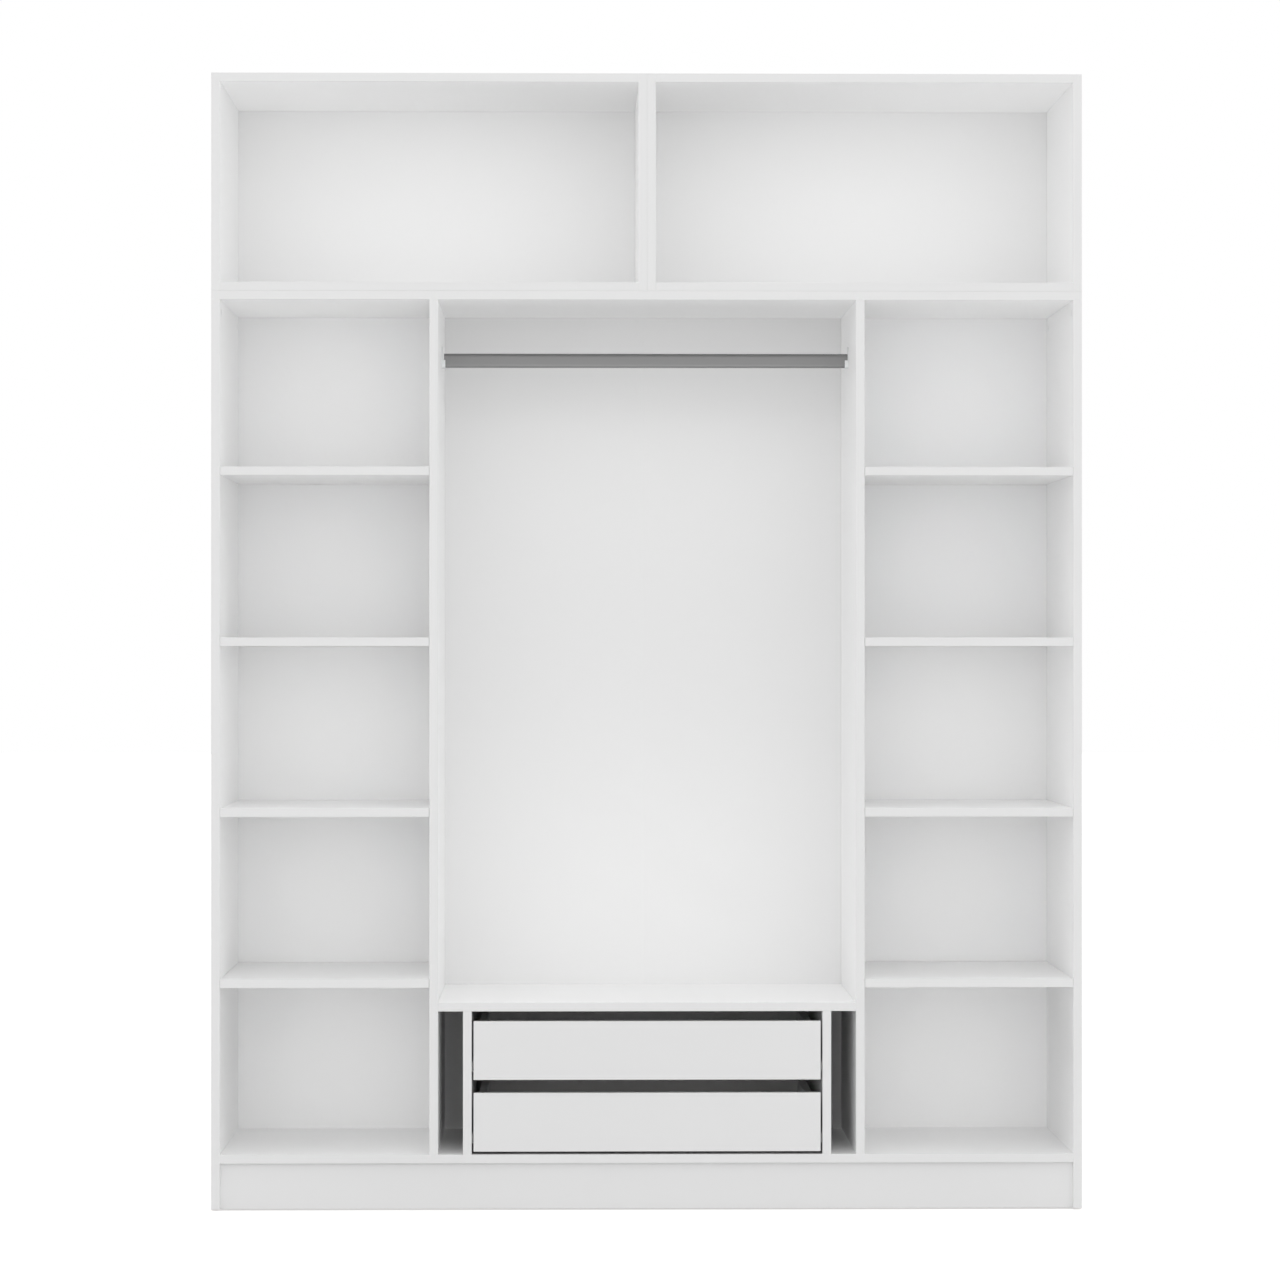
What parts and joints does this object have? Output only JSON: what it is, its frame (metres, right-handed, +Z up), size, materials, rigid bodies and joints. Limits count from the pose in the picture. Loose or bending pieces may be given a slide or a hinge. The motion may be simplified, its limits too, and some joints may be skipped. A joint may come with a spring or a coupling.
{
  "type": "open wardrobe",
  "caption": "Tall open wardrobe carcass in white board, with shelf bays beside a hanging bay over drawers on roller runners, and open boxes on top.",
  "frame": {"origin": "middle of the footprint, on the floor under the glides", "axes": "+Z up, +Y to the back, +X to the right as seen from the open front"},
  "size_m": [1.8, 0.52, 2.35],
  "materials": {
    "white_board": "white melamine-faced chipboard with matching edge banding, satin",
    "white_hardboard": "thin hardboard lacquered white on the inside, matt",
    "rail_steel": "satin grey plated oval tube",
    "zinc_steel": "bright zinc plated",
    "fastener_steel": "zinc plated",
    "white_nylon": "moulded white nylon",
    "beech": "fluted raw beech"
  },
  "bodies": {
    "cabinet": {"left_side_panel": "white_board", "right_side_panel": "white_board", "main_top_panel": "white_board", "bottom_panel": "white_board", "plinth_board": "white_board", "rear_plinth_board": "white_board", "plinth_cross_boards": "white_board", "left_divider": "white_board", "right_divider": "white_board", "left_shelf_1": "white_board", "left_shelf_2": "white_board", "left_shelf_3": "white_board", "left_shelf_4": "white_board", "right_shelf_1": "white_board", "right_shelf_2": "white_board", "right_shelf_3": "white_board", "right_shelf_4": "white_board", "drawer_top_shelf": "white_board", "left_drawer_partition": "white_board", "right_drawer_partition": "white_board", "left_back_panel": "white_hardboard", "right_back_panel": "white_hardboard", "hanging_rail": "rail_steel", "rail_brackets": "zinc_steel", "left_box_outer_side": "white_board", "left_box_inner_side": "white_board", "left_box_top": "white_board", "left_box_bottom": "white_board", "left_box_back": "white_hardboard", "right_box_outer_side": "white_board", "right_box_inner_side": "white_board", "right_box_top": "white_board", "right_box_bottom": "white_board", "right_box_back": "white_hardboard", "box_connectors": "fastener_steel", "cam_locks": "zinc_steel", "cam_bolts": "fastener_steel", "wooden_dowels": "beech", "shelf_pins": "fastener_steel", "wood_screws": "fastener_steel", "floor_glides": "white_nylon", "cabinet_runners": "zinc_steel"},
    "lower_drawer": {"lower_drawer_front": "white_board", "lower_drawer_left_side": "white_board", "lower_drawer_right_side": "white_board", "lower_drawer_back": "white_board", "lower_drawer_bottom": "white_hardboard", "lower_drawer_runners": "zinc_steel", "lower_drawer_fittings": "zinc_steel"},
    "upper_drawer": {"upper_drawer_front": "white_board", "upper_drawer_left_side": "white_board", "upper_drawer_right_side": "white_board", "upper_drawer_back": "white_board", "upper_drawer_bottom": "white_hardboard", "upper_drawer_runners": "zinc_steel", "upper_drawer_fittings": "zinc_steel"},
    "lower_front_rollers": {"lower_front_rollers": "white_nylon"},
    "lower_rear_rollers": {"lower_rear_rollers": "white_nylon"},
    "upper_front_rollers": {"upper_front_rollers": "white_nylon"},
    "upper_rear_rollers": {"upper_rear_rollers": "white_nylon"}
  },
  "joints": [
    {"name": "lower_drawer_slide", "type": "slide", "parent": "cabinet", "child": "lower_drawer", "axis": [0, -1, 0], "range_m": [0, 0.34]},
    {"name": "upper_drawer_slide", "type": "slide", "parent": "cabinet", "child": "upper_drawer", "axis": [0, -1, 0], "range_m": [0, 0.34]},
    {"name": "lower_front_roller_spin", "type": "hinge", "parent": "cabinet", "child": "lower_front_rollers", "pos_m": [0, -0.225, 0.1496], "axis": [1, 0, 0], "continuous": true},
    {"name": "lower_rear_roller_spin", "type": "hinge", "parent": "lower_drawer", "child": "lower_rear_rollers", "pos_m": [0, 0.196, 0.1476], "axis": [1, 0, 0], "continuous": true},
    {"name": "upper_front_roller_spin", "type": "hinge", "parent": "cabinet", "child": "upper_front_rollers", "pos_m": [0, -0.225, 0.2976], "axis": [1, 0, 0], "continuous": true},
    {"name": "upper_rear_roller_spin", "type": "hinge", "parent": "upper_drawer", "child": "upper_rear_rollers", "pos_m": [0, 0.196, 0.2956], "axis": [1, 0, 0], "continuous": true}
  ],
  "couplings": [
    {"joint": "lower_front_roller_spin", "follows": "lower_drawer_slide", "rad_per_m": 117.65},
    {"joint": "lower_rear_roller_spin", "follows": "lower_drawer_slide", "rad_per_m": 117.65},
    {"joint": "upper_front_roller_spin", "follows": "upper_drawer_slide", "rad_per_m": 117.65},
    {"joint": "upper_rear_roller_spin", "follows": "upper_drawer_slide", "rad_per_m": 117.65}
  ]
}
